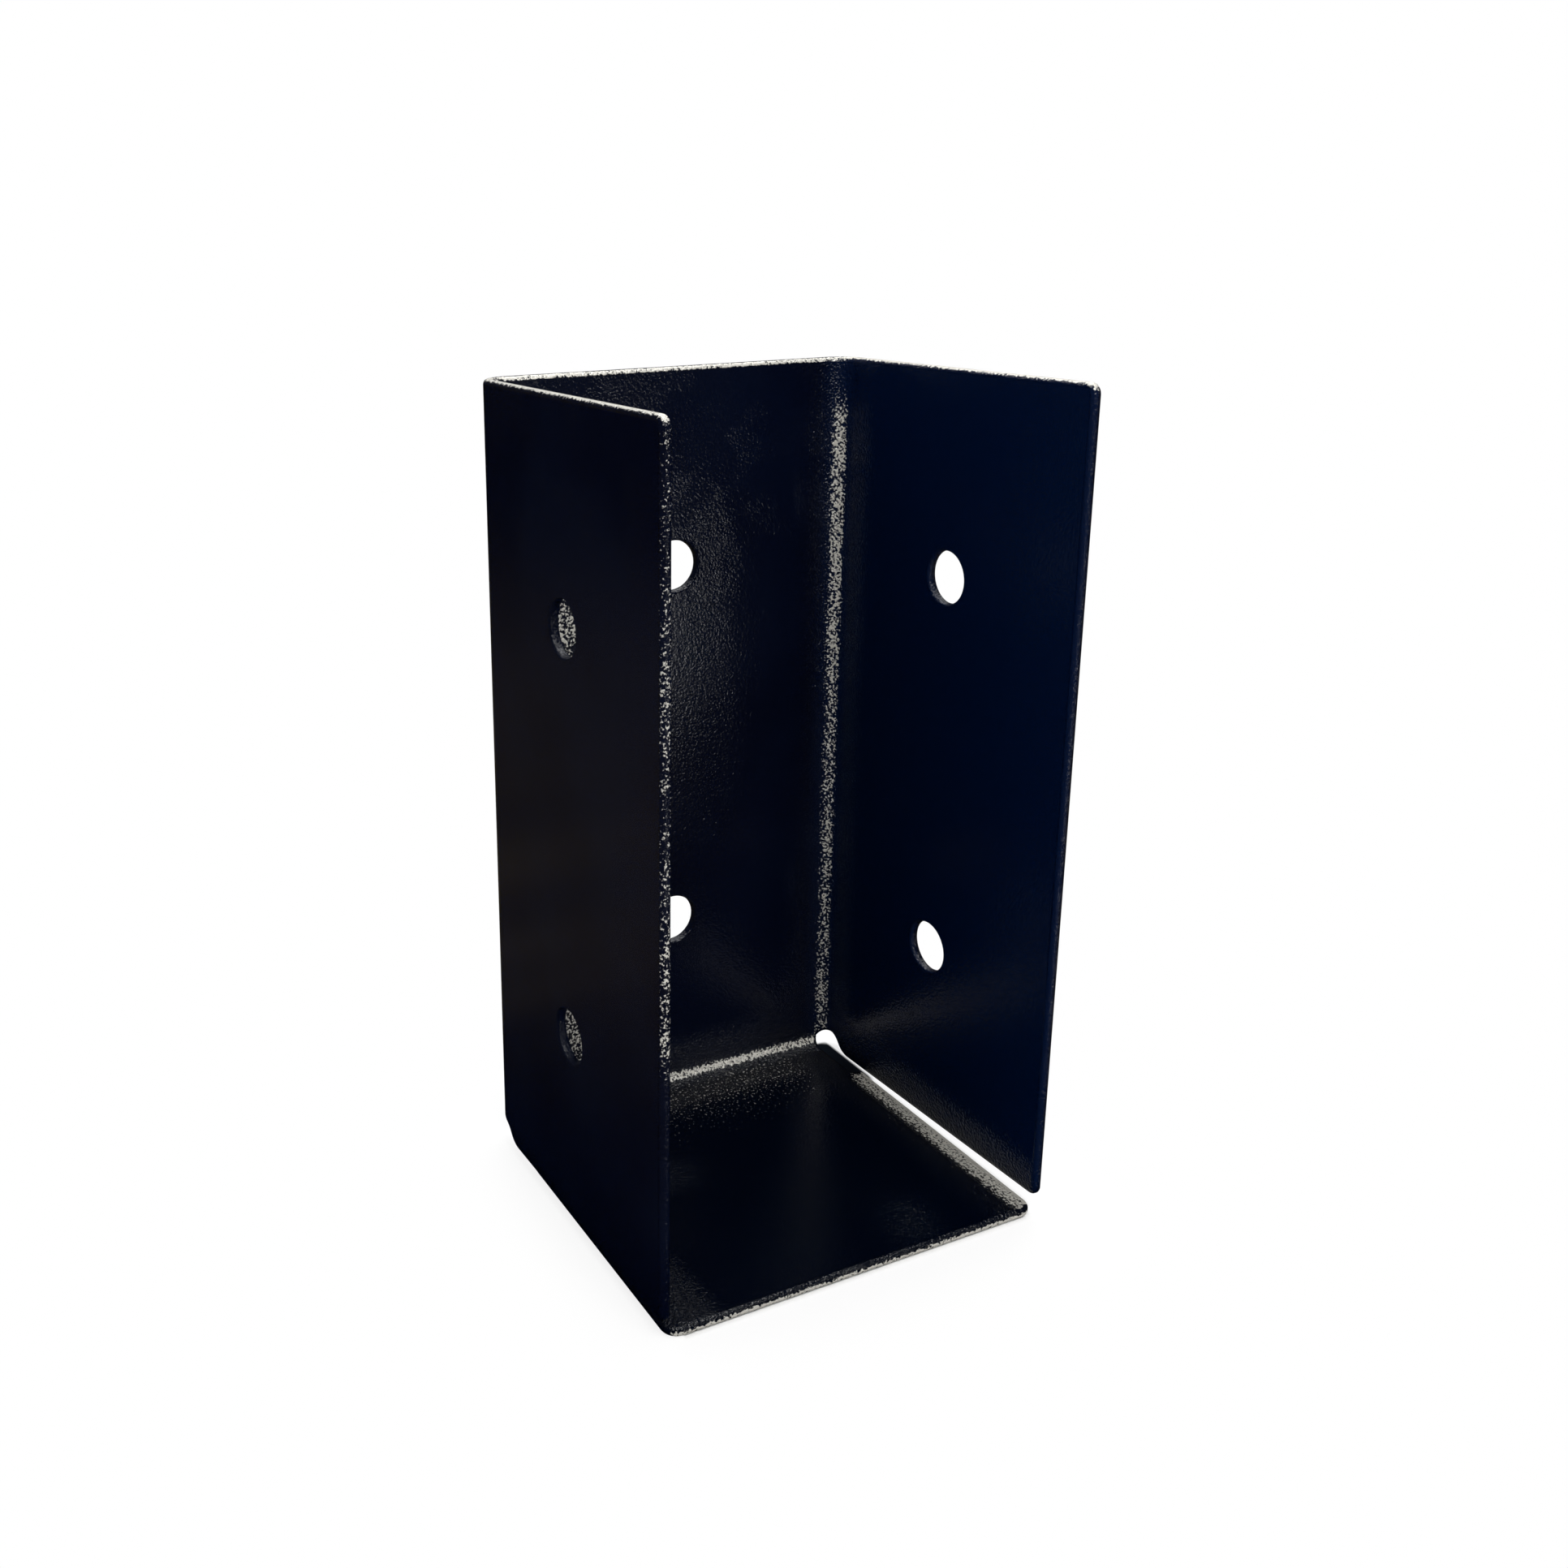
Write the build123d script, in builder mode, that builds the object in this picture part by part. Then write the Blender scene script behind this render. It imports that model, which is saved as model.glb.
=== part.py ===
# U bracket that carries the end of a 45 x 90 timber: one steel sheet, folded three times.
# The back plate has a flange along each side edge and a shelf along its lower edge.
# +Z is up, the open front faces -Y, and the shelf's underside lies on Z = 0.

import os

from build123d import *

os.makedirs("parts", exist_ok=True)

# the timber, and the room it has between the flanges
timber_width = 45.0
timber_play = 0.5

# the sheet, and the inside radius of its bends
sheet = 1.2
bend_radius = 2.4

# overall sizes: from the shelf's underside to the top edge, and from the back to the front edges
height = 92.0
depth = 42.0

# the slit between each flange and the shelf: the flange's lower edge rises towards the front,
# and the shelf reaches a little under it
slit_at_front = 1.1
slit_at_bend = 0.1
shelf_reach = 0.35

# near the bend the shelf is narrower, and the slit ends in a round relief hole
wide_slit_reach = 9.5
wide_slit_step = 1.6
relief_radius = 1.5
relief_outwards = 0.5
relief_forwards = 0.9
relief_drop = 0.4

# the rounding of the free corners, of the slit's step and of the cut edges
flange_corner = 1.2
shelf_corner = 1.2
slit_corner = 0.45
edge_round = 0.4

# screw holes: two in the back plate and two in each flange, at the same heights
hole_diameter = 6.0
hole_chamfer = 0.25
hole_pitch = 45.0
lower_hole_height = 24.0
flange_hole_setback = 21.5

half_inner = timber_width / 2 + timber_play
half_width = half_inner + sheet
outer_radius = bend_radius + sheet
back = depth / 2
front = -depth / 2
shelf_half = half_inner + shelf_reach
hole_centre_height = lower_hole_height + hole_pitch / 2

# where the side bends and the shelf's bend start
bend_x = half_width - outer_radius
bend_y = back - outer_radius
bend_z = outer_radius

# the straight part of the slit ends just before the bend, and the relief hole takes the rest
slit_end = bend_y - sheet / 2
wide_slit_start = back - wide_slit_reach
wide_slit_x = shelf_half - wide_slit_step


def short_edges(part, axis):
    """The edges that run through the sheet's thickness, along the axis."""
    return part.edges().filter_by(axis).filter_by(lambda edge: edge.length < 1.01 * sheet)


def sharp_edges(part):
    """The edges where two faces meet at an angle, not smoothly."""
    faces_at = {}
    for face in part.faces():
        for edge in face.edges():
            faces_at.setdefault(edge, []).append(face)
    sharp = []
    for edge, faces in faces_at.items():
        first_normal, *other_normals = [face.normal_at(edge @ 0.5) for face in faces]
        if any(first_normal.get_angle(normal) > 30 for normal in other_normals):
            sharp.append(edge)
    return ShapeList(sharp)


with BuildPart() as u_bracket:
    # The folded form: a block with its three bent edges rounded, hollowed to the sheet's
    # thickness and open at the front and the top.
    with BuildSketch():
        Rectangle(2 * half_width, depth)
    extrude(amount=height)
    back_face = u_bracket.faces().sort_by(Axis.Y)[-1]
    fillet(back_face.edges().sort_by(Axis.Z)[:-1], radius=outer_radius)
    front_face = u_bracket.faces().sort_by(Axis.Y)[0]
    top_face = u_bracket.faces().sort_by(Axis.Z)[-1]
    offset(amount=-sheet, openings=[front_face, top_face])

    # The slits that part the flanges from the shelf, as far as the bend: first what lies above
    # the shelf's upper face, then what lies beside the shelf.
    with BuildSketch(Plane.YZ):
        with BuildLine():
            Polyline(
                (front, sheet),
                (slit_end, sheet),
                (slit_end, sheet + slit_at_bend),
                (front, sheet + slit_at_front),
                close=True,
            )
        make_face()
    extrude(amount=half_width + sheet, both=True, mode=Mode.SUBTRACT)
    with BuildSketch():
        with BuildLine():
            Polyline(
                (shelf_half, front),
                (half_width + sheet, front),
                (half_width + sheet, slit_end),
                (wide_slit_x, slit_end),
                (wide_slit_x, wide_slit_start),
                (shelf_half, wide_slit_start),
                close=True,
            )
        make_face()
        mirror(about=Plane.YZ)
    extrude(amount=sheet, mode=Mode.SUBTRACT)

    # Free corners of the flanges and the shelf, and the slits' steps.
    fillet(short_edges(u_bracket, Axis.X).group_by(Axis.Y)[0], radius=flange_corner)
    fillet(short_edges(u_bracket, Axis.Z).group_by(Axis.Y)[0], radius=shelf_corner)
    steps = short_edges(u_bracket, Axis.Z).filter_by_position(Axis.Y, front + sheet, slit_end - sheet)
    fillet(steps, radius=slit_corner)

    # Every cut edge is rounded, but for the closed corners behind the slits, which the reliefs
    # take away.
    rims = sharp_edges(u_bracket.part).filter_by(
        lambda edge: edge.center().Y < slit_end - edge_round or edge.center().Z > bend_z
    )
    fillet(rims, radius=edge_round)

    # Reliefs: a hole through the corner where the three bends meet, along the corner's
    # diagonal, and the last of each slit, which opens into it.
    for side in (-1, 1):
        relief_x = side * (bend_x + relief_outwards)
        relief_start = (relief_x, bend_y - relief_forwards, bend_z - relief_drop)
        with BuildSketch(Plane(origin=relief_start, z_dir=(side, 1, -1))):
            Circle(relief_radius)
        extrude(amount=2 * outer_radius, mode=Mode.SUBTRACT)
    with BuildSketch():
        with Locations((wide_slit_x, slit_end)):
            Rectangle(half_width, back - sheet - slit_end, align=Align.MIN)
        mirror(about=Plane.YZ)
    extrude(amount=sheet + slit_at_bend, mode=Mode.SUBTRACT)

    # Screw holes, in pairs one above the other: through the back plate, and through both flanges.
    back_pair = Plane(origin=(0, back, hole_centre_height), x_dir=(1, 0, 0), z_dir=(0, 1, 0))
    flange_hole_y = back - flange_hole_setback
    flange_start = (half_width, flange_hole_y, hole_centre_height)
    flange_pair = Plane(origin=flange_start, x_dir=(0, 1, 0), z_dir=(1, 0, 0))
    for plane, through in ((back_pair, sheet), (flange_pair, 2 * half_width)):
        with Locations(plane):
            with GridLocations(0, hole_pitch, 1, 2):
                Hole(hole_diameter / 2, depth=through)
    hole_rims = u_bracket.edges().filter_by(GeomType.CIRCLE).filter_by(lambda edge: edge.is_closed)
    chamfer(hole_rims, length=hole_chamfer)

u_bracket.part.label = "u_bracket"
export_step(u_bracket.part, "parts/u_bracket.step")
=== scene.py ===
import bpy
import numpy as np
from mathutils import Matrix, Vector
from mathutils.geometry import delaunay_2d_cdt


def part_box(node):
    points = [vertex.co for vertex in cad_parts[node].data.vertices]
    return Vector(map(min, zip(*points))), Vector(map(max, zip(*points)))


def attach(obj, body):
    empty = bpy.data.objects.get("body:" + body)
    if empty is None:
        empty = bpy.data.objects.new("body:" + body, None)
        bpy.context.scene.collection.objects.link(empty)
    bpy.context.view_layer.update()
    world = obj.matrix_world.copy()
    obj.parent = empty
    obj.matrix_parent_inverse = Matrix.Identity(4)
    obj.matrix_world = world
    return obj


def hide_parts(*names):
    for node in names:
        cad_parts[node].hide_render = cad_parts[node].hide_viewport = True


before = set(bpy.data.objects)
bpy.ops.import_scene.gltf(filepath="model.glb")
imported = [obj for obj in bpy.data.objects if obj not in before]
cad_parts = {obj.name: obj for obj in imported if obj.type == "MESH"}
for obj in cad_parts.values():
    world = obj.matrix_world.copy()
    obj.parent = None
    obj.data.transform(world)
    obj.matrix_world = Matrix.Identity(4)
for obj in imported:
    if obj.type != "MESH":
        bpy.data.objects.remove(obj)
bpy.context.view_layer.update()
node = "u_bracket"
low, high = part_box(node)
print("frame loaded")


# a socket whose sums, products and powers add Math nodes
class Value:
    def __init__(self, shader, socket):
        self.shader, self.socket = shader, socket

    def math(self, operation, other=None):
        inputs = {0: self} if other is None else {0: self, 1: other}
        return self.shader.add("ShaderNodeMath", {"operation": operation}, inputs)

    def __add__(self, other):
        return self.math("ADD", other)

    def __radd__(self, other):
        return self.math("ADD", other)

    def __sub__(self, other):
        return self.math("SUBTRACT", other)

    def __rsub__(self, other):
        return (self * -1.0).math("ADD", other)

    def __mul__(self, other):
        return self.math("MULTIPLY", other)

    def __rmul__(self, other):
        return self.math("MULTIPLY", other)

    def __pow__(self, other):
        return self.math("POWER", other)

    def ramp(self, start, end):
        # 0 below start, 1 above end, eased between them
        settings = {"interpolation_type": "SMOOTHSTEP"}
        inputs = {"Value": self, "From Min": start, "From Max": end}
        return self.shader.add("ShaderNodeMapRange", settings, inputs)


class Shader:
    def __init__(self, tree):
        tree.nodes.clear()
        self.tree = tree

    def add(self, kind, settings=None, inputs=None, output=0):
        # settings first, then the sockets' values or links; gives back one output
        made = self.tree.nodes.new(kind)
        for name, value in (settings or {}).items():
            setattr(made, name, value)
        for name, value in (inputs or {}).items():
            if isinstance(value, Value):
                self.tree.links.new(value.socket, made.inputs[name])
            else:
                made.inputs[name].default_value = value
        return Value(self, made.outputs[output]) if len(made.outputs) else made

    def mix(self, factor, first, second):
        inputs = {"Factor": factor, 6: first, 7: second}
        return self.add("ShaderNodeMix", {"data_type": "RGBA"}, inputs, output=2)

    def noise(self, coords, scale, detail, roughness):
        inputs = {"Vector": coords, "Scale": scale, "Detail": detail, "Roughness": roughness}
        return self.add("ShaderNodeTexNoise", None, inputs)

    def axes(self, coords):
        split = self.add("ShaderNodeSeparateXYZ", None, {0: coords})
        outs = split.socket.node.outputs
        return [Value(self, outs[index]) for index in range(3)]

    def objectCoords(self):
        return self.add("ShaderNodeTexCoord", output=3)

    def attribute(self, name):
        return self.add("ShaderNodeAttribute", {"attribute_name": name}, output=2)

    def rays(self):
        # 1 for a ray of each kind: the camera's, a glossy one, one that came through something
        outs = self.add("ShaderNodeLightPath").socket.node.outputs
        names = ("Is Camera Ray", "Is Glossy Ray", "Is Transmission Ray")
        return [Value(self, outs[name]) for name in names]


def newMaterial(name):
    material = bpy.data.materials.new(name)
    material.use_nodes = True
    return material, Shader(material.node_tree)


# the sheet's flat blank and its bends, in metres
bracket = {
    "sheet": 0.0012,
    "bendRadius": 0.0024,           # inside the bend
    "flangeLift": (0.00125, 0.0023),    # the flanges' lower edge at the bend and at the front
    "shelfSide": 0.02335,           # half the shelf's width: it reaches a little under the flanges
    "wideSlit": 0.0015,             # how much narrower a side the shelf is near its bend
    "wideSlitReach": 0.0095,        # from the back face
    "reliefCentre": (0.0241, 0.0009),
    "reliefRadius": 0.00245,
    "shelfEase": 0.0009,            # rounds the point where the shelf's side meets the relief
    "flangeEase": 0.0027,           # and the one where the flange's lower edge does
    "topCorner": 0.0012,
    "lowCorner": 0.0010,
    "shelfCorner": 0.0018,
    "stepCorner": 0.0008,
    "rollWidth": 0.0034,            # the shelf's upper face rolls over near its long edges
    "rollTurn": 0.0005,             # how soon its slope grows steady
    "rollSlope": 0.165,
    "rollShading": 1.5,             # its shading leans this much more than its slope
    "rollFade": (0.0100, 0.0125),   # below the bend's start on the blank: none, then all of it
    "rollGrid": (6, 40),            # its columns a side and its rows
    "rollInset": 0.0010,            # its outermost column, from the shelf's side
    "rollEnds": (0.0016, 0.0078),   # its end rows, from the shelf's front and from the bend
    "rollClear": (0.0004, 0.0070),  # the plain grid ends here, from its columns and from the bend
    "edgeRound": 0.00055,
    "holeRound": 0.00035,
    "holeRadius": 0.003,
    "holeHeights": (0.024, 0.069),
    "flangeHoleSetback": 0.0215,    # from the back face
    "cell": 0.0016,                 # grid cells on the flats
    "edgeStep": 0.0005,             # point spacing along the edges
    "support": 0.0002,              # a second row of points just inside each edge
    "edgeGap": 0.0006,              # the grid keeps this far inside the rounding
    "bendRows": 14,
    "rimRows": 6,                   # rows in each quarter of the rounded rim
}

halfSheet = bracket["sheet"] / 2
bendMiddle = bracket["bendRadius"] + halfSheet          # radius of the sheet's middle
bendOuter = bracket["bendRadius"] + bracket["sheet"]
bendX = high.x - bendOuter
bendY = high.y - bendOuter
bendZ = low.z + bendOuter
bendLength = bendMiddle * np.pi / 2
flangeEnd = bendX + bendLength + bendY - low.y          # flat width to a flange's front edge
shelfEnd = bendZ - bendLength - bendY + low.y           # flat height of the shelf's front edge
holeU = bendX + bendLength + bendY - (high.y - bracket["flangeHoleSetback"])


def folded(u, v, w):
    # a flat point (u across, v up, w off the sheet's middle towards the outside) goes where the
    # folded sheet has it: the nearer bend wins, and beyond its quarter turn the sheet runs forward
    across, down = np.abs(u) - bendX, bendZ - v
    side = across > down
    past = np.where(side, across, down)
    angle = np.clip(past / bendMiddle, 0.0, np.pi / 2)
    reach = (bendMiddle + w) * np.sin(angle)
    y = bendY + (bendMiddle + w) * np.cos(angle) - np.clip(past - bendLength, 0.0, None)
    x = np.where(side & (past > 0), np.sign(u) * (bendX + reach), u)
    z = np.where(~side & (past > 0), bendZ - reach, v)
    return np.stack([x, y, z], axis=-1)


def outwards(u, v):
    # the sheet's outer normal: it turns from the back towards the side or the underside
    across, down = np.abs(u) - bendX, bendZ - v
    side = across > down
    angle = np.clip(np.where(side, across, down) / bendMiddle, 0.0, np.pi / 2)
    x = np.where(side, np.sign(u) * np.sin(angle), 0.0)
    z = np.where(side, 0.0, -np.sin(angle))
    return np.stack([x, np.cos(angle), z], axis=-1)


def line(start, end):
    # points along a straight edge, without its last one
    start, end = np.array(start), np.array(end)
    count = max(2, int(np.ceil(np.linalg.norm(end - start) / bracket["edgeStep"])))
    return start + np.linspace(0.0, 1.0, count, endpoint=False)[:, None] * (end - start)


def arc(centre, radius, fromAngle, toAngle):
    # points along a circle's arc, angles in radians, without its last one
    turn = abs(toAngle - fromAngle)
    step = min(bracket["edgeStep"] * 0.6, radius * 0.2)
    count = max(4, int(np.ceil(turn * radius / step)))
    angle = np.linspace(fromAngle, toAngle, count, endpoint=False)
    return np.array(centre) + radius * np.stack([np.cos(angle), np.sin(angle)], axis=-1)


def lowerEdge(u):
    # the flange's lower edge rises evenly from the bend to the front
    atBend, atFront = bracket["flangeLift"]
    past, length = np.abs(u) - bendX - bendLength, flangeEnd - bendX - bendLength
    return atBend + (atFront - atBend) * past / length


def blankOutline():
    # half the blank's edge, from the middle of the shelf's front round to the middle of the top:
    # shelf front, corner, side with its step, relief, flange's lower edge, front edge, top
    side, top = bracket["shelfSide"], high.z
    narrow = side - bracket["wideSlit"]
    corner, topCorner = bracket["shelfCorner"], bracket["topCorner"]
    lowCorner, outStep = bracket["lowCorner"], bracket["stepCorner"]
    inStep = bracket["wideSlit"] - outStep
    stepV = bendZ - bendLength - (bendY - (high.y - bracket["wideSlitReach"]))
    relief, radius = np.array(bracket["reliefCentre"]), bracket["reliefRadius"]

    # an easing circle touches the shelf's side and the relief
    shelfEase = bracket["shelfEase"]
    lower = np.array([narrow - shelfEase, 0.0])
    lower[1] = relief[1] - np.sqrt((radius + shelfEase) ** 2 - (lower[0] - relief[0]) ** 2)
    lowerAngle = np.arctan2(*(relief - lower)[::-1])

    # another touches the relief and the flange's sloping lower edge: from a first point over the
    # relief's middle it slides along the edge's slope until it is just clear of the relief
    flangeEase = bracket["flangeEase"]
    slope = np.arctan2(lowerEdge(flangeEnd) - lowerEdge(bendX), flangeEnd - bendX)
    along = np.array([np.cos(slope), np.sin(slope)])
    across = np.array([-along[1], along[0]])
    offset = np.array([relief[0], lowerEdge(relief[0])]) + flangeEase * across - relief
    slide = np.sqrt((offset @ along) ** 2 - offset @ offset + (radius + flangeEase) ** 2)
    slide = -offset @ along + slide
    upper = relief + offset + slide * along
    upperAngle = np.arctan2(*(upper - relief)[::-1])

    # and the flange's lower front corner touches that edge
    frontU = flangeEnd - lowCorner
    frontV = lowerEdge(frontU) + lowCorner / along[0]
    edgeEnd = np.array([frontU, frontV]) - lowCorner * across
    half = [
        line((0.0, shelfEnd), (side - corner, shelfEnd)),
        arc((side - corner, shelfEnd + corner), corner, -np.pi / 2, 0.0),
        line((side, shelfEnd + corner), (side, stepV - outStep)),
        arc((side - outStep, stepV - outStep), outStep, 0.0, np.pi / 2),
        arc((narrow + inStep, stepV + inStep), inStep, -np.pi / 2, -np.pi),
        line((narrow, stepV + inStep), (narrow, lower[1])),
        arc(lower, shelfEase, 0.0, lowerAngle),
        arc(relief, radius, lowerAngle + np.pi, upperAngle),
        arc(upper, flangeEase, upperAngle + np.pi, 1.5 * np.pi + slope),
        line(upper - flangeEase * across, edgeEnd),
        arc((frontU, frontV), lowCorner, -np.pi / 2 + slope, 0.0),
        line((flangeEnd, frontV), (flangeEnd, top - topCorner)),
        arc((flangeEnd - topCorner, top - topCorner), topCorner, 0.0, np.pi / 2),
        line((flangeEnd - topCorner, top), (0.0, top)),
    ]
    half = np.concatenate(half)
    mirrored = half[:0:-1] * (-1.0, 1.0)
    return np.concatenate([half, [[0.0, top]], mirrored])


def edgeNormals(loop):
    # the outline's outward normal: its direction turned a quarter clockwise
    along = np.roll(loop, -1, axis=0) - np.roll(loop, 1, axis=0)
    along /= np.linalg.norm(along, axis=1)[:, None]
    return np.stack([along[:, 1], -along[:, 0]], axis=-1)


def eased(value, start, end):
    # 0 at start, 1 at end, smooth between
    share = np.clip((value - start) / (end - start), 0.0, 1.0)
    return share * share * (3.0 - 2.0 * share)


def band(value, start, full, last, end):
    # 0 up to start, 1 from full to last, 0 again past end
    return eased(value, start, full) * eased(value, end, last)


def rolled(u, v):
    # along the shelf's long edges its upper face rolls over: its slope rises quickly to a steady
    # one past the roll's start; gives the drop and the slope
    start, turn = bracket["shelfSide"] - bracket["rollWidth"], bracket["rollTurn"]
    past = np.clip(np.abs(u) - start, 0.0, None)
    on = eased(v, *(bendZ - gap for gap in bracket["rollFade"]))
    drop = bracket["rollSlope"] * (past - turn * (1.0 - np.exp(-past / turn))) * on
    slope = bracket["rollSlope"] * (1.0 - np.exp(-past / turn)) * on * np.sign(u)
    return drop, slope


# how grainy the coat is, and where bright steel colour is painted on: painted highlights in the
# bends, on the back plate's spots and along the shelf's roll, and on the rims partly edge wear and
# partly painted highlight. A band's four numbers are where it starts, is full, is last full and
# ends, and an edge's two are how far from it the steel colour starts and is full
grainWearAndHighlights = {
    "outerGrain": 0.10,
    "rimGrain": 0.7,
    "flatGrain": 0.16,              # on the inner side, away from the bends
    "bendGrain": 0.84,              # added in the bends
    "grainReach": 0.0050,           # and gone this far from them
    "spotGrain": 1.2,
    "spots": (                      # painted glints on the back plate: across, up, outer and inner radius, share
        (-0.0150, 0.0630, 0.0040, 0.0030, 0.9),
        (-0.0150, 0.0118, 0.0048, 0.0036, 1.0),
    ),
    "spotHighlight": 0.46,
    "uprightBand": (0.02, 0.44, 0.60, 0.80),    # in shares of the bend's length
    "uprightHighlight": (0.41, 0.12),   # low down, and what is added higher up
    "uprightRise": (0.030, 0.070),  # the heights between which that is added
    "uprightTop": (0.0905, 0.0830),     # none above the first height, all below the second
    "levelBand": (0.18, 0.36, 0.46, 0.62),
    "levelHighlight": 0.62,
    "rearBand": (0.5, 0.9, 1.0, 5.0),
    "rearSides": (0.0205, 0.0150),  # none past the first distance across, all within the second
    "rearHighlight": 0.18,
    "rollFull": 0.0014,             # from the shelf's side
    "rollEnd": (0.0095, 0.0125),
    "rollHighlight": 0.55,
    "innerLean": (1.7, 2.1, 2.8, 3.1),      # round the rim, in radians
    "outerLean": (0.3, 0.7, 1.6, 2.0),
    "topEdge": (0.0010, 0.0001),
    "topWearAndHighlight": (0.7, 1.1),         # on the back plate and on the flanges
    "topPower": 3,                  # narrows the flanges' band to the rim's middle
    "shelfEdge": (0.0010, 0.0002),
    "shelfWearAndHighlight": 0.70,
    "flangeEdge": (0.0008, 0.0002),     # the left flange's front
    "flangeFoot": (0.027, 0.033),
    "flangePower": 0.5,
    "flangeWearAndHighlight": 0.25,
    "flangeHigh": (0.02, 0.072, 0.084),     # taken away between these heights
    "flangeLow": (0.12, 0.046, 0.042),      # added between these
    "slitEdge": (0.0004, 0.0001),   # the shelf's right side
    "slitFade": (0.006, 0.012),
}


def innerGrain(u, v):
    # the coat's texture on the inner side: coarsest in the bends and the glint spots, and it
    # fades out over the flats
    side, down = np.abs(u) - bendX, bendZ - v
    beyond = [np.maximum(-past, past - bendLength) for past in (side, down)]
    near = np.maximum(*(eased(gap, grainWearAndHighlights["grainReach"], 0.0) for gap in beyond))
    return grainWearAndHighlights["flatGrain"] + grainWearAndHighlights["bendGrain"] * near + grainWearAndHighlights["spotGrain"] * glintSpots(u, v)


def glintSpots(u, v):
    # round spots of painted highlight on the back plate, full inside the inner radius and gone
    # past the outer one
    spots = []
    for acrossAt, upAt, outer, inner, share in grainWearAndHighlights["spots"]:
        spots.append(share * eased(np.hypot(u - acrossAt, v - upAt), outer, inner))
    return np.maximum(*spots)


def bendHighlights(u, v):
    # painted highlights, shown as bright steel: a band along each bend's inner side, then a
    # speckle on the shelf by its bend, the roll along the shelf's right edge, and the glint spots
    side, down = (np.abs(u) - bendX) / bendLength, (bendZ - v) / bendLength
    least, more = grainWearAndHighlights["uprightHighlight"]
    upright = band(side, *grainWearAndHighlights["uprightBand"]) * (side > down)
    upright = upright * (least + more * eased(v, *grainWearAndHighlights["uprightRise"]))
    upright = upright * eased(v, *grainWearAndHighlights["uprightTop"])
    level = band(down, *grainWearAndHighlights["levelBand"]) * (side < down) * grainWearAndHighlights["levelHighlight"]
    rear = band(down, *grainWearAndHighlights["rearBand"]) * eased(np.abs(u), *grainWearAndHighlights["rearSides"]) * grainWearAndHighlights["rearHighlight"]
    edge = bracket["shelfSide"]
    roll = eased(np.abs(u), edge - bracket["rollWidth"], edge - grainWearAndHighlights["rollFull"])
    roll = roll * eased(v, *(bendZ - gap for gap in grainWearAndHighlights["rollEnd"])) * (u > 0.0)
    roll = roll * grainWearAndHighlights["rollHighlight"]
    flats = np.maximum(np.maximum(rear, roll), grainWearAndHighlights["spotHighlight"] * glintSpots(u, v))
    return np.maximum(np.maximum(upright, level), flats)


def wearAndHighlight(loop, lean):
    # bright steel on the rim, partly edge wear and partly painted highlight: by the place along
    # the edge, and across it by the lean, which turns from the outer side (0) to the inner side
    # (pi)
    u, v = loop[:, 0], loop[:, 1]
    middle = np.sin(lean)
    inner, outer = band(lean, *grainWearAndHighlights["innerLean"]), band(lean, *grainWearAndHighlights["outerLean"])
    top = eased(v, *(high.z - gap for gap in grainWearAndHighlights["topEdge"]))
    back = eased(np.abs(u), bendX + bendLength, bendX)
    backWearAndHighlight, sideWearAndHighlight = grainWearAndHighlights["topWearAndHighlight"]
    sides = (1.0 - back) * middle ** grainWearAndHighlights["topPower"] * sideWearAndHighlight
    topPart = top * (back * inner * backWearAndHighlight + sides)
    front = eased(v, *(shelfEnd + gap for gap in grainWearAndHighlights["shelfEdge"])) * outer * grainWearAndHighlights["shelfWearAndHighlight"]
    flange = eased(u, *(gap - flangeEnd for gap in grainWearAndHighlights["flangeEdge"]))
    flange = flange * eased(v, *grainWearAndHighlights["flangeFoot"]) * middle ** grainWearAndHighlights["flangePower"]
    (less, *highUp), (more, *lowDown) = grainWearAndHighlights["flangeHigh"], grainWearAndHighlights["flangeLow"]
    share = grainWearAndHighlights["flangeWearAndHighlight"] - less * eased(v, *highUp) + more * eased(v, *lowDown)
    flange = flange * share
    slit = eased(u, *(bracket["shelfSide"] - gap for gap in grainWearAndHighlights["slitEdge"]))
    slit = slit * eased(v, *(bendZ - gap for gap in grainWearAndHighlights["slitFade"])) * (v < 0.0) * inner
    return np.maximum(np.maximum(topPart, front), np.maximum(flange, slit))


def gridLines(stops, counts):
    # one run of even steps after another
    parts = [np.linspace(a, b, n, endpoint=False) for a, b, n in zip(stops, stops[1:], counts)]
    return np.concatenate(parts + [[stops[-1]]])


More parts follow.
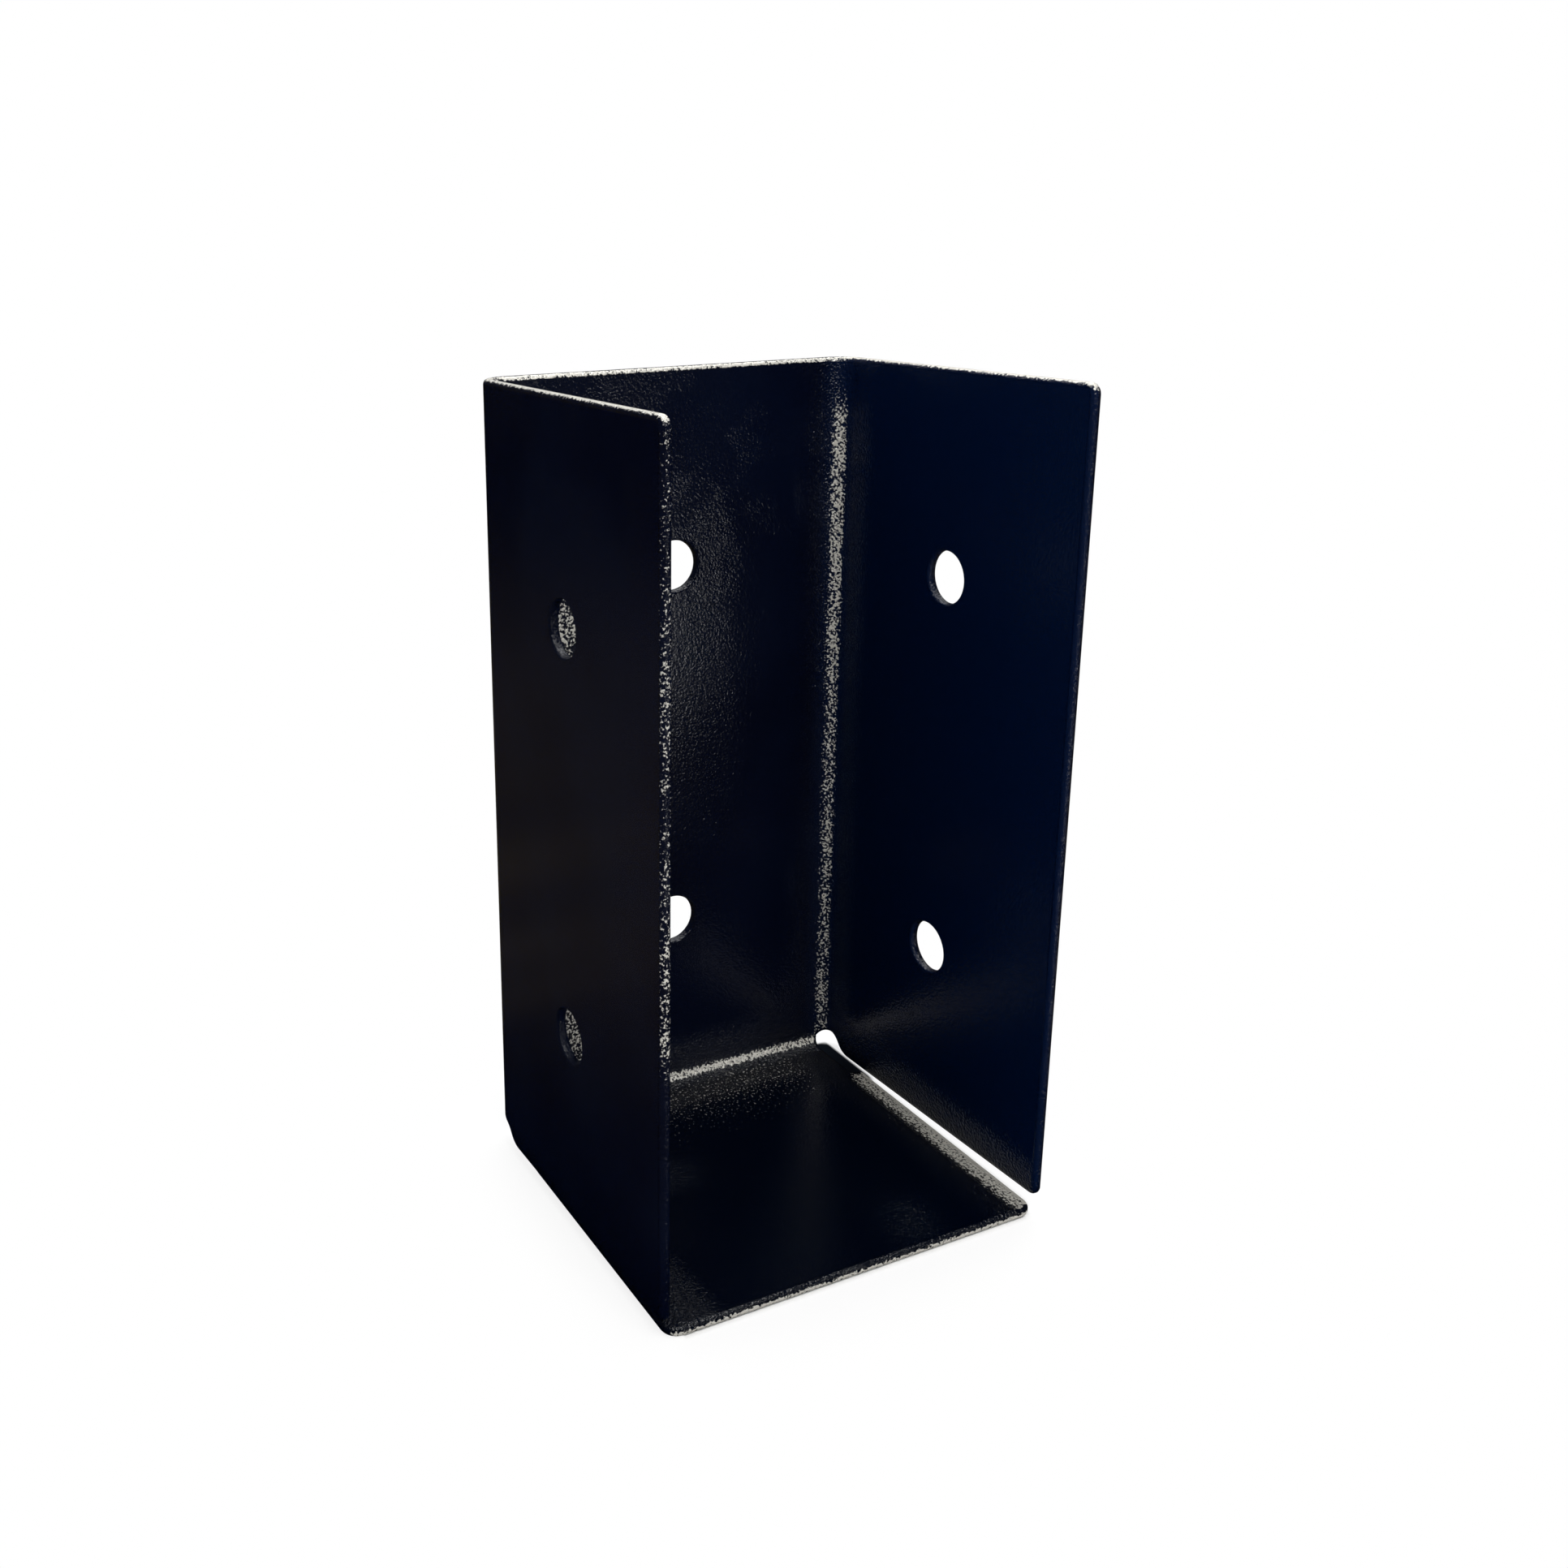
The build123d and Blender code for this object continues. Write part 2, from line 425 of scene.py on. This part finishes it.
def flatGrid(holes):
    # points on the blank's flats and bends, clear of every edge, with closer columns of their own
    # where the shelf rolls over
    cell, rows = bracket["cell"], bracket["bendRows"]
    backCells = int(round(2 * bendX / cell))
    flangeCells = int(round((flangeEnd - bendX - bendLength) / cell))
    shelfCells = int(round((bendZ - bendLength - shelfEnd) / cell))
    plateCells = int(round((high.z - bendZ) / cell))
    uStops = [-flangeEnd, -bendX - bendLength, -bendX, bendX, bendX + bendLength, flangeEnd]
    uLines = gridLines(uStops, [flangeCells, rows, backCells, rows, flangeCells])
    vStops = [shelfEnd, bendZ - bendLength, bendZ, high.z]
    vLines = gridLines(vStops, [shelfCells, rows, plateCells])
    u, v = (axis.ravel() for axis in np.meshgrid(uLines, vLines))

    margin = bracket["edgeRound"] + bracket["edgeGap"]
    side = bracket["shelfSide"]
    upper = (np.abs(u) < flangeEnd - margin) & (v > lowerEdge(u) + margin)
    shelf = (np.abs(u) < side - bracket["wideSlit"] - margin) & (v > shelfEnd + margin)
    inside = (upper | shelf) & (v < high.z - margin)
    relief = np.hypot(np.abs(u) - bracket["reliefCentre"][0], v - bracket["reliefCentre"][1])
    inside &= relief > bracket["reliefRadius"] + margin
    for centre in holes:
        inside &= np.hypot(u - centre[0], v - centre[1]) > bracket["holeRadius"] + margin
    grid = np.stack([u, v], axis=-1)[inside]

    columns, rows = bracket["rollGrid"]
    fromFront, fromBend = bracket["rollEnds"]
    clearSide, clearBend = bracket["rollClear"]
    rollU = side - np.linspace(bracket["rollInset"], bracket["rollWidth"], columns)
    rollV = np.linspace(shelfEnd + fromFront, bendZ - bendLength - fromBend, rows)
    rollU, rollV = (axis.ravel() for axis in np.meshgrid(np.concatenate([-rollU, rollU]), rollV))
    taken = np.abs(grid[:, 0]) > side - bracket["rollWidth"] - clearSide
    taken &= grid[:, 1] < bendZ - bendLength - clearBend
    return np.concatenate([grid[~taken], np.stack([rollU, rollV], axis=-1)])


def blankTriangles(rings, supports, grid):
    # the blank's flat points joined up, with the rings and supports as fixed edges; a triangle
    # between ring points alone fills a hole or a hollow of the outline, and is left out
    flat = np.concatenate(rings + supports + [grid])
    edges, start = [], 0
    for ring in rings + supports:
        count = len(ring)
        index = np.arange(count)
        edges.append(np.stack([start + index, start + (index + 1) % count], axis=-1))
        start += count
    edges = np.concatenate(edges)
    scale, tolerance = 1000.0, 1e-5     # the triangulation works in millimetres
    solved = delaunay_2d_cdt((flat * scale).tolist(), edges.tolist(), [], 0, tolerance)
    corners, triangles = np.array(solved[0]) / scale, np.array(solved[2])
    if len(corners) != len(flat):
        counts = (len(flat), len(corners))
        raise RuntimeError("the blank's edges cross: %d points became %d" % counts)
    ringCount = sum(len(ring) for ring in rings)
    triangles = triangles[~(triangles < ringCount).all(axis=1)]
    a, b, c = (corners[triangles[:, index]] for index in range(3))
    turn = (b[:, 0] - a[:, 0]) * (c[:, 1] - a[:, 1]) - (b[:, 1] - a[:, 1]) * (c[:, 0] - a[:, 0])
    triangles = np.where((turn < 0)[:, None], triangles[:, ::-1], triangles)
    return corners, triangles


def rimSurface(loop, rounding, edgeNormal):
    # a rounded profile carried along a loop: its lean turns from the outer side (0) to the inner
    # side (pi), and its two middle rows, at pi/2, come out at the same place; gives the points,
    # the directions they are shaded by and the leans
    quarter = np.linspace(0.0, np.pi / 2, bracket["rimRows"] + 1)[1:]
    lean = np.concatenate([quarter, np.pi - quarter[::-1]])[:, None]
    shift = np.where(lean <= np.pi / 2, 1.0, -1.0) * (halfSheet - rounding)
    pull = rounding * (1 - np.sin(lean))
    u = loop[:, 0] - edgeNormal[:, 0] * pull
    v = loop[:, 1] - edgeNormal[:, 1] * pull
    drop = rolled(loop[:, 0] - edgeNormal[:, 0] * rounding, loop[:, 1])[0]
    offset = shift + rounding * np.cos(lean) + drop * (lean > np.pi / 2) * (1 - np.sin(lean))
    points = folded(u, v, offset)
    nudge = 1e-5
    ahead = folded(u + nudge * edgeNormal[:, 0], v + nudge * edgeNormal[:, 1], offset)
    away = (ahead - points) / nudge
    away /= np.linalg.norm(away, axis=-1)[..., None]
    shading = np.sin(lean)[..., None] * away
    shading = shading + np.cos(lean)[..., None] * outwards(u, v)
    return points.reshape(-1, 3), shading.reshape(-1, 3), lean


def bracketMesh():
    holes = [(u, v) for v in bracket["holeHeights"] for u in (-holeU, 0.0, holeU)]
    loops = [(blankOutline(), bracket["edgeRound"])]
    for centre in holes:
        loops.append((arc(centre, bracket["holeRadius"], 2 * np.pi, 0.0), bracket["holeRound"]))

    # flat points: each loop pulled in by its rounding, a second ring just inside, then the grid
    rings, supports, normals = [], [], []
    for loop, rounding in loops:
        normal = edgeNormals(loop)
        normals.append(normal)
        rings.append(loop - normal * rounding)
        supports.append(loop - normal * (rounding + bracket["support"]))
    corners, triangles = blankTriangles(rings, supports, flatGrid(holes))

    # the outer and the inner side
    u, v = corners[:, 0], corners[:, 1]
    normal = outwards(u, v)
    drop, slope = rolled(u, v)
    points = [folded(u, v, np.full(len(u), halfSheet)), folded(u, v, drop - halfSheet)]
    level = np.zeros(len(u))
    tilt = np.stack([slope * bracket["rollShading"], level, level], axis=-1)
    shading = [normal, tilt - normal]
    # painted highlights on the inner side, none on the outer; the rims add their own below
    highlightAndWearMask = [level, bendHighlights(u, v)]
    grainy = [np.full(len(u), grainWearAndHighlights["outerGrain"]), innerGrain(u, v)]
    faces = [triangles[:, ::-1], triangles + len(u)]

    # then the rounded rim between them, loop by loop
    quads = []
    total, start = 2 * len(u), 0
    for (loop, rounding), edgeNormal in zip(loops, normals):
        count = len(loop)
        rimPoints, rimShading, lean = rimSurface(loop, rounding, edgeNormal)
        points.append(rimPoints)
        shading.append(rimShading)
        highlightAndWearMask.append(wearAndHighlight(loop, lean).ravel())
        grainy.append(np.full(len(rimPoints), grainWearAndHighlights["rimGrain"]))
        index = np.arange(count)
        table = total + np.arange(len(rimPoints)).reshape(len(lean), count)
        table = np.concatenate([[start + index], table, [len(u) + start + index]])
        ahead = np.roll(table, -1, axis=1)
        quad = np.stack([table[:-1], ahead[:-1], ahead[1:], table[1:]], axis=-1)
        quads.append(quad.reshape(-1, 4))
        total += len(rimPoints)
        start += count

    mesh = bpy.data.meshes.new("bracketSheet")
    allFaces = np.concatenate(faces).tolist() + np.concatenate(quads).tolist()
    mesh.from_pydata(np.concatenate(points), [], allFaces)
    mesh.shade_smooth()
    allShading = np.concatenate(shading)
    allShading /= np.linalg.norm(allShading, axis=1)[:, None]
    mesh.normals_split_custom_set_from_vertices(allShading)
    for name, values in (("wearAndHighlight", highlightAndWearMask), ("grainy", grainy)):
        attribute = mesh.attributes.new(name, "FLOAT", "POINT")
        attribute.data.foreach_set("value", np.concatenate(values).astype(np.float32))
    return mesh


coat = {
    "colour": (0.0010, 0.0025, 0.0100, 1.0),
    "blue": (0.0002, 0.0040, 0.0205, 1.0),      # painted reflection: a bluer tint on the right flange's inner side
    "deep": (0.0005, 0.0014, 0.0070, 1.0),      # clouds in the colour
    # painted shade: a darker copy of the coat colour for the shelf
    "shelf": (0.0001, 0.0011, 0.0050, 1.0),
    # the steel colour of the painted highlights and of the rims' wear
    "steel": (0.68, 0.66, 0.60, 1.0),
    "index": 1.55,
    "roughness": 0.15,
    "roughCloud": 0.10,             # what the clouds, the grain and the painted highlights' steel add to it
    "roughGrain": 0.10,
    "roughWearAndHighlight": 0.15,
    "steelMetal": 0.4,
    "grain": 3400.0,                # noise scale: grains about 0.3 mm across
    "grainDepth": 0.23,             # millimetres from the deepest to the highest
    "peel": 520.0,                  # noise scale: the coat's slow ripple, about 2 mm
    "peelDepth": 0.004,
    "cloud": 55.0,                  # noise scale: clouds about 20 mm across
    "cloudEdge": (0.35, 0.65),
    "highlightMaskShare": 1.1,               # the steel colour shows by the painted highlight mask, the grain and the clouds
    "grainShare": 2.2,
    "cloudShare": 0.5,
    "steelEdge": (0.42, 0.66),      # none below the first sum, all steel colour above the second
    "highlightMaskEdge": (0.02, 0.30),       # and none outside the painted highlight mask
    "blueStart": (0.0190, 0.0228),  # across: the outside of the bend behind it takes some of the painted reflection too
    "blueEnd": (0.0233, 0.0238),
    "shelfTop": (0.0013, 0.0045),   # the height where the shelf's darker colour, a painted shade, gives way
    "patch": 130.0,                 # noise scale: grainy patches near the top
    "patchEdge": (0.48, 0.60),
    "patchHeight": (0.055, 0.075),
    "patchGrain": 0.14,
}


def blackCoat():
    material, shader = newMaterial("blackCoat")
    coords = shader.objectCoords()
    grain = shader.noise(coords, coat["grain"], detail=2.0, roughness=0.55)
    peel = shader.noise(coords, coat["peel"], detail=1.0, roughness=0.4)
    cloud = shader.noise(coords, coat["cloud"], detail=3.0, roughness=0.5)
    x, _, z = shader.axes(coords)
    highlightAndWearMask, grainy = shader.attribute("wearAndHighlight"), shader.attribute("grainy")
    grainOff, cloudOff = grain - 0.5, cloud - 0.5       # noise about its middle
    # where the painted highlights, and the rims' wear, show as steel
    wornSteelAndHighlight = highlightAndWearMask * coat["highlightMaskShare"] + grainOff * coat["grainShare"] + cloudOff * coat["cloudShare"]
    wornSteelAndHighlight = wornSteelAndHighlight.ramp(*coat["steelEdge"]) * highlightAndWearMask.ramp(*coat["highlightMaskEdge"])
    colour = shader.mix(cloud.ramp(*coat["cloudEdge"]), coat["deep"], coat["colour"])
    # painted reflection: the right flange's inner side tinted bluer
    blueReflection = x.ramp(*coat["blueStart"]) * (1.0 - x.ramp(*coat["blueEnd"]))
    colour = shader.mix(blueReflection, colour, coat["blue"])
    # painted shade: the shelf, below that height, darker
    colour = shader.mix(z.ramp(*coat["shelfTop"]), coat["shelf"], colour)
    colour = shader.mix(wornSteelAndHighlight, colour, coat["steel"])
    rough = coat["roughness"] + cloudOff * coat["roughCloud"] + grainOff * coat["roughGrain"]
    rough = rough + wornSteelAndHighlight * coat["roughWearAndHighlight"]
    patches = shader.noise(coords, coat["patch"], detail=2.0, roughness=0.5)
    patches = patches.ramp(*coat["patchEdge"]) * z.ramp(*coat["patchHeight"])
    height = grain * (grainy + patches * coat["patchGrain"]) * coat["grainDepth"]
    height = height + peel * coat["peelDepth"]
    bumps = {"Height": height, "Strength": 1.0, "Distance": 0.001}     # heights in millimetres
    finish = {
        "Base Color": colour,
        "Roughness": rough,
        "Metallic": wornSteelAndHighlight * coat["steelMetal"],
        "Normal": shader.add("ShaderNodeBump", None, bumps),
        "IOR": coat["index"],
    }
    surface = shader.add("ShaderNodeBsdfPrincipled", None, finish)
    shader.add("ShaderNodeOutputMaterial", None, {"Surface": surface})
    return material


bracketObject = bpy.data.objects.new("bracketSheet", bracketMesh())
bpy.context.scene.collection.objects.link(bracketObject)
bracketObject.data.materials.append(blackCoat())
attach(bracketObject, "root")
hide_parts(node)
print("bracket made:", len(bracketObject.data.polygons), "faces")


white = (1.0, 1.0, 1.0, 1.0)
studio = {
    "floor": 3.0,
    "floorColour": (0.90, 0.90, 0.90, 1.0),
    "footprintShort": 0.0015,       # the shade stops twice this short of the footprint's left side
    "whiteAtOnce": 0.80,            # the floor's share of plain white right beside the object
    "whiteEdge": 0.0005,
    "whiteLater": 0.20,             # and what is left of it, fading in by fadeEnd
    "fadeEnd": 0.012,
    "shadeColour": (0.003, 0.004, 0.006, 1.0),
    "shadeCorner": (0.01950, 0.01580),      # deep shade under the right rear corner
    "shadeHalf": (0.00270, 0.00260),
    "shadeEdge": (0.0027, 0.0040),
    "floorInGloss": (0.044, 0.034, 0.018, 1.0),     # the coat mirrors a dim brown table
    "glossNear": 0.060,             # darker than that nearer to the object than this
    "glossFar": (0.12, 0.45),       # and dimming between these distances
    "glossLoss": 0.9,
    "lineScale": (6.0, 70.0, 1.0),      # the table's grain
    "lineEdge": (0.3, 0.7),
    "lineShare": (0.6, 0.8),        # brightness between the lines, and what a line adds
    "world": 0.85,
    "worldInGloss": 0.03,           # and the room that it mirrors is dim
}

lampPower = 4.0     # watts for each square metre at brightness 1
lamps = {
    # direction from the back's side towards the right, height above the middle (degrees),
    # distance, width and height in metres, brightness where 1 is about white
    "overhead": (-176.0, 58.0, 0.45, (0.20, 0.16), 8.0),
    "rear": (30.0, 56.0, 0.50, (0.50, 0.24), 3.2),
    "frontRight": (160.0, -12.0, 0.20, (0.04, 0.03), 7.0),
}


def distanceFrom(x, y, centre, half):
    # how far a point of the floor lies outside a rectangle
    beyondX = ((x - centre[0]).math("ABSOLUTE") - half[0]).math("MAXIMUM", 0.0)
    beyondY = ((y - centre[1]).math("ABSOLUTE") - half[1]).math("MAXIMUM", 0.0)
    return (beyondX * beyondX + beyondY * beyondY) ** 0.5


def makeFloor():
    size = studio["floor"] / 2
    mesh = bpy.data.meshes.new("floor")
    corners = [(-size, -size), (size, -size), (size, size), (-size, size)]
    mesh.from_pydata([(x, y, low.z) for x, y in corners], [], [(0, 1, 2, 3)])
    floor = bpy.data.objects.new("floor", mesh)
    bpy.context.scene.collection.objects.link(floor)
    material, shader = newMaterial("paleFloor")
    camera, glossy, clear = shader.rays()
    coords = shader.objectCoords()
    x, y, _ = shader.axes(coords)
    short = studio["footprintShort"]
    away = distanceFrom(x, y, (short, 0.0), (high.x - short, high.y))
    deep = distanceFrom(x, y, studio["shadeCorner"], studio["shadeHalf"])
    deep = deep.ramp(*studio["shadeEdge"])

    # the camera sees a pale floor with shade close to the object, and plain white further off
    plain = studio["whiteAtOnce"] * away.ramp(0.0, studio["whiteEdge"])
    plain = plain + studio["whiteLater"] * away.ramp(0.0, studio["fadeEnd"])
    plain = camera.math("MAXIMUM", clear) * plain
    shade = shader.mix(deep, studio["shadeColour"], studio["floorColour"])
    diffuse = shader.add("ShaderNodeBsdfDiffuse", None, {"Color": shade})
    glow = shader.add("ShaderNodeEmission", None, {"Color": white, "Strength": 1.0})
    both = shader.add("ShaderNodeMixShader", None, {0: plain, 1: diffuse, 2: glow})

    # the coat's gloss sees a dim table instead
    stretch = {"Vector": coords, "Scale": studio["lineScale"]}
    stretched = shader.add("ShaderNodeMapping", None, stretch)
    lines = shader.noise(stretched, 1.0, detail=3.0, roughness=0.55).ramp(*studio["lineEdge"])
    between, added = studio["lineShare"]
    far = 1.0 - studio["glossLoss"] * away.ramp(*studio["glossFar"])
    mirrored = away.ramp(0.0, studio["glossNear"]) * far * (between + added * lines)
    table = {"Color": studio["floorInGloss"], "Strength": mirrored}
    dim = shader.add("ShaderNodeEmission", None, table)
    both = shader.add("ShaderNodeMixShader", None, {0: glossy, 1: both, 2: dim})
    shader.add("ShaderNodeOutputMaterial", None, {"Surface": both})
    mesh.materials.append(material)


def makeWorld():
    world = bpy.data.worlds.new("studio")
    world.use_nodes = True
    bpy.context.scene.world = world
    shader = Shader(world.node_tree)
    camera, glossy, clear = shader.rays()
    seen = camera.math("MAXIMUM", clear)
    strength = studio["world"] + seen * (1.0 - studio["world"])
    strength = strength + glossy * (studio["worldInGloss"] - studio["world"])
    light = {"Color": white, "Strength": strength}
    background = shader.add("ShaderNodeBackground", None, light)
    shader.add("ShaderNodeOutputWorld", None, {"Surface": background})


def makeLamp(name, turn, rise, distance, size, brightness):
    # a soft panel that faces the object's middle
    turn, rise = np.radians(turn), np.radians(rise)
    aim = Vector((0.0, 0.0, (low.z + high.z) / 2))
    place = Vector((np.sin(turn) * np.cos(rise), np.cos(turn) * np.cos(rise), np.sin(rise)))
    light = bpy.data.lights.new(name, "AREA")
    light.shape = "RECTANGLE"
    light.size, light.size_y = size
    light.energy = lampPower * brightness * size[0] * size[1]
    lamp = bpy.data.objects.new(name, light)
    turned = (-place).to_track_quat("-Z", "Y").to_matrix().to_4x4()
    lamp.matrix_world = Matrix.Translation(aim + place * distance) @ turned
    lamp.visible_camera = False
    bpy.context.scene.collection.objects.link(lamp)


def makeCamera():
    view = {
        "place": (-0.0863582, -0.1342109, 0.1068472),
        "yaw": 24.635,              # from the back's direction towards the right, in degrees
        "pitch": 15.650,            # downwards
        "roll": -1.0894,
        "lens": 35.280,             # in millimetres, on a sensor this wide
        "sensor": 36.0,
        "shift": (0.146453, -0.077350),
        "nearest": 0.01,
    }
    yaw, pitch, roll = (np.radians(view[name]) for name in ("yaw", "pitch", "roll"))
    ahead = np.array([np.sin(yaw) * np.cos(pitch), np.cos(yaw) * np.cos(pitch), -np.sin(pitch)])
    right = np.array([np.cos(yaw), -np.sin(yaw), 0.0])
    up = np.cross(right, ahead)
    cameraX = right * np.cos(roll) + up * np.sin(roll)
    cameraY = up * np.cos(roll) - right * np.sin(roll)
    turn = np.eye(4)
    turn[:3, :3] = np.stack([cameraX, cameraY, -ahead], axis=-1)
    turn[:3, 3] = view["place"]
    data = bpy.data.cameras.new("camera")
    data.sensor_width = view["sensor"]
    data.lens = view["lens"]
    data.shift_x, data.shift_y = view["shift"]
    data.clip_start = view["nearest"]
    camera = bpy.data.objects.new("camera", data)
    camera.matrix_world = Matrix(turn.tolist())
    bpy.context.scene.collection.objects.link(camera)
    bpy.context.scene.camera = camera


makeFloor()
makeWorld()
for name, values in lamps.items():
    makeLamp(name, *values)
makeCamera()
bpy.context.scene.view_settings.view_transform = "Standard"
print("studio made")
